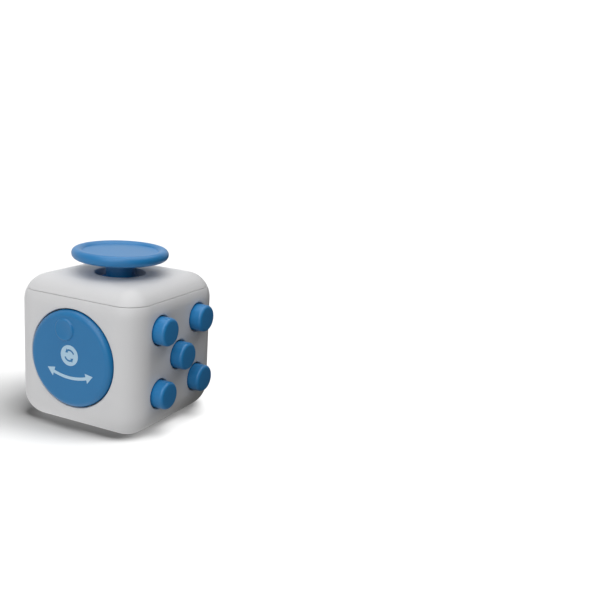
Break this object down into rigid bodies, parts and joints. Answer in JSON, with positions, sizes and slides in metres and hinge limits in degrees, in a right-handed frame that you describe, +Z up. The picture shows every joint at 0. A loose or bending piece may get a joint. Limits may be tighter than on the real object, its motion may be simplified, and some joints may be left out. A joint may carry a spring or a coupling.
{
  "type": "fidget cube",
  "caption": "Handheld fidget cube: white rounded case with a blue joystick, dial, push buttons, flip switch, ribbed wheels and a rolling ball.",
  "frame": {"origin": "centre of the square footprint that the cube rests on", "axes": "+Z up towards the joystick, -Y out of the dial face, +X out of the button face"},
  "size_m": [0.0384, 0.0355, 0.0385],
  "materials": {
    "white_shell": "satin",
    "blue_plastic": "satin",
    "dial_blue": "satin",
    "inner_plastic": "matte",
    "spring_steel": "bright",
    "pad_rubber": "matte"
  },
  "bodies": {
    "case": {"body_shell": "white_shell", "top_cover": "white_shell", "core_frame": "inner_plastic", "frame_screw_1": "spring_steel", "frame_screw_2": "spring_steel", "frame_screw_3": "spring_steel", "frame_screw_4": "spring_steel", "click_dome_1": "spring_steel", "click_dome_2": "spring_steel", "click_dome_3": "spring_steel", "silent_pad_1": "pad_rubber", "silent_pad_2": "pad_rubber", "switch_housing": "inner_plastic", "wheel_axle": "spring_steel", "wheel_cradle": "inner_plastic", "ball_spring": "spring_steel", "button_spring_1": "spring_steel", "button_spring_2": "spring_steel", "button_spring_3": "spring_steel", "button_spring_4": "spring_steel", "button_spring_5": "spring_steel"},
    "dial": {"dial": "dial_blue", "dial_washer": "spring_steel", "dial_screw": "spring_steel"},
    "switch": {"switch_rocker": "blue_plastic", "switch_plunger": "inner_plastic", "switch_spring": "spring_steel"},
    "ball_press": {"ball_cup": "inner_plastic"},
    "ball": {"roll_ball": "blue_plastic"},
    "joystick_turn": {"joystick_spring": "spring_steel", "joystick_spring_seat": "inner_plastic"},
    "joystick": {"joystick_cap": "blue_plastic", "joystick_dome": "blue_plastic"},
    "button_1": {"button_1": "blue_plastic"},
    "button_2": {"button_2": "blue_plastic"},
    "button_3": {"button_3": "blue_plastic"},
    "button_4": {"button_4": "blue_plastic"},
    "button_5": {"button_5": "blue_plastic"},
    "wheel_1": {"roll_wheel_1": "blue_plastic"},
    "wheel_2": {"roll_wheel_2": "blue_plastic"},
    "wheel_3": {"roll_wheel_3": "blue_plastic"}
  },
  "joints": [
    {"name": "dial_spin", "type": "hinge", "parent": "case", "child": "dial", "pos_m": [0, -0.0165, 0.0165], "axis": [0, -1, 0], "continuous": true},
    {"name": "button_1_press", "type": "slide", "parent": "case", "child": "button_1", "axis": [-1, 0, 0], "range_m": [0, 0.0015], "stiffness_N_per_m": 300, "springref_m": -0.0005, "deforming": ["button_spring_1"]},
    {"name": "button_2_press", "type": "slide", "parent": "case", "child": "button_2", "axis": [-1, 0, 0], "range_m": [0, 0.0015], "stiffness_N_per_m": 300, "springref_m": -0.0005, "deforming": ["button_spring_2"]},
    {"name": "button_3_press", "type": "slide", "parent": "case", "child": "button_3", "axis": [-1, 0, 0], "range_m": [0, 0.0015], "stiffness_N_per_m": 300, "springref_m": -0.0005, "deforming": ["button_spring_3"]},
    {"name": "button_4_press", "type": "slide", "parent": "case", "child": "button_4", "axis": [-1, 0, 0], "range_m": [0, 0.0015], "stiffness_N_per_m": 300, "springref_m": -0.0005, "deforming": ["button_spring_4"]},
    {"name": "button_5_press", "type": "slide", "parent": "case", "child": "button_5", "axis": [-1, 0, 0], "range_m": [0, 0.0015], "stiffness_N_per_m": 300, "springref_m": -0.0005, "deforming": ["button_spring_5"]},
    {"name": "switch_flip", "type": "hinge", "parent": "case", "child": "switch", "pos_m": [-0.0135, 0, 0.0165], "axis": [0, 1, 0], "range_deg": [0, 24]},
    {"name": "wheel_1_roll", "type": "hinge", "parent": "case", "child": "wheel_1", "pos_m": [0.0044, 0.0134, 0.0233], "axis": [1, 0, 0], "continuous": true},
    {"name": "wheel_2_roll", "type": "hinge", "parent": "case", "child": "wheel_2", "pos_m": [0, 0.0134, 0.0233], "axis": [1, 0, 0], "continuous": true},
    {"name": "wheel_3_roll", "type": "hinge", "parent": "case", "child": "wheel_3", "pos_m": [-0.0044, 0.0134, 0.0233], "axis": [1, 0, 0], "continuous": true},
    {"name": "ball_press", "type": "slide", "parent": "case", "child": "ball_press", "axis": [0, -1, 0], "range_m": [0, 0.001], "stiffness_N_per_m": 400, "springref_m": -0.0005, "deforming": ["ball_spring"]},
    {"name": "ball_roll", "type": "hinge", "parent": "ball_press", "child": "ball", "pos_m": [0, 0.0139, 0.0104], "axis": [1, 0, 0], "continuous": true},
    {"name": "joystick_turn", "type": "hinge", "parent": "case", "child": "joystick_turn", "pos_m": [0, 0, 0.0239], "axis": [0, 0, 1], "continuous": true},
    {"name": "joystick_lean", "type": "hinge", "parent": "joystick_turn", "child": "joystick", "pos_m": [0, 0, 0.0239], "axis": [1, 0, 0], "range_deg": [-12, 12], "stiffness_Nm_per_rad": 0.02}
  ]
}
